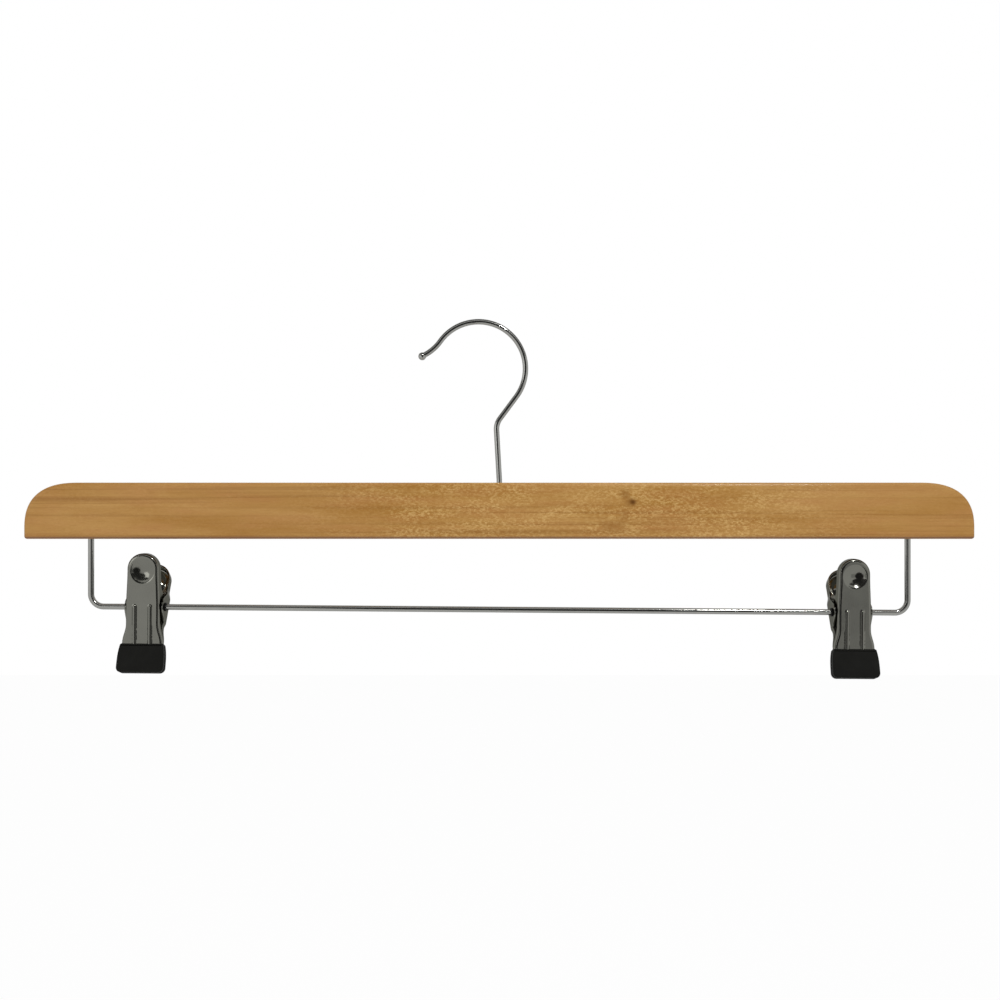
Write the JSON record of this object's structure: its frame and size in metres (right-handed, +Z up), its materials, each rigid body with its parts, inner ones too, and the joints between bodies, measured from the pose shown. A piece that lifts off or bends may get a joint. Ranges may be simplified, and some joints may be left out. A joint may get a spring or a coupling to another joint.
{
  "type": "trouser hanger",
  "caption": "Wooden bar with a swivelling wire hook above and a bent wire bar below that carries two sliding sprung clips with soft boots.",
  "frame": {"origin": "the point inside the top of the hook that rests on a rail", "axes": "+X along the wooden bar to the right as seen from the front, +Y to the back, +Z up"},
  "size_m": [0.445, 0.0288, 0.1691],
  "materials": {
    "wood": "clear gloss varnish over straight-grained honey-coloured wood",
    "wire": "bright chrome plate",
    "plate": "bright chrome plate on pressed sheet",
    "boot": "matt black soft PVC",
    "sleeve": "black plastic tube",
    "spring": "bright drawn spring wire"
  },
  "bodies": {
    "hook": {"hook": "wire"},
    "bar": {"wooden_bar": "wood", "hook_washer": "wire", "clip_bar": "wire"},
    "left_carriage": {"left_sleeve": "sleeve"},
    "left_front": {"left_front_jaw": "plate", "left_front_boot": "boot", "left_spring": "spring"},
    "left_rear": {"left_rear_jaw": "plate", "left_rear_boot": "boot"},
    "right_carriage": {"right_sleeve": "sleeve"},
    "right_front": {"right_front_jaw": "plate", "right_front_boot": "boot", "right_spring": "spring"},
    "right_rear": {"right_rear_jaw": "plate", "right_rear_boot": "boot"}
  },
  "joints": [
    {"name": "hook_swivel", "type": "hinge", "parent": "hook", "child": "bar", "pos_m": [0.00984, 0, -0.08116], "axis": [0, 0, 1], "continuous": true},
    {"name": "left_clip_slide", "type": "slide", "parent": "bar", "child": "left_carriage", "axis": [1, 0, -0.0078], "range_m": [-0.0107, 0.1498]},
    {"name": "left_clip_swing", "type": "hinge", "parent": "left_carriage", "child": "left_front", "pos_m": [-0.15686, 0, -0.13336], "axis": [1, 0, -0.0078], "range_deg": [-104, 136]},
    {"name": "left_clip_open", "type": "hinge", "parent": "left_front", "child": "left_rear", "pos_m": [-0.15686, 0, -0.13336], "axis": [1, 0, -0.0078], "range_deg": [0, 34], "stiffness_Nm_per_rad": 0.25, "springref_deg": -55, "deforming": ["left_spring"]},
    {"name": "right_clip_slide", "type": "slide", "parent": "bar", "child": "right_carriage", "axis": [1, 0, -0.0078], "range_m": [-0.1489, 0.0113]},
    {"name": "right_clip_swing", "type": "hinge", "parent": "right_carriage", "child": "right_front", "pos_m": [0.17584, 0, -0.13595], "axis": [1, 0, -0.0078], "range_deg": [-104, 136]},
    {"name": "right_clip_open", "type": "hinge", "parent": "right_front", "child": "right_rear", "pos_m": [0.17584, 0, -0.13595], "axis": [1, 0, -0.0078], "range_deg": [0, 34], "stiffness_Nm_per_rad": 0.25, "springref_deg": -55, "deforming": ["right_spring"]}
  ]
}
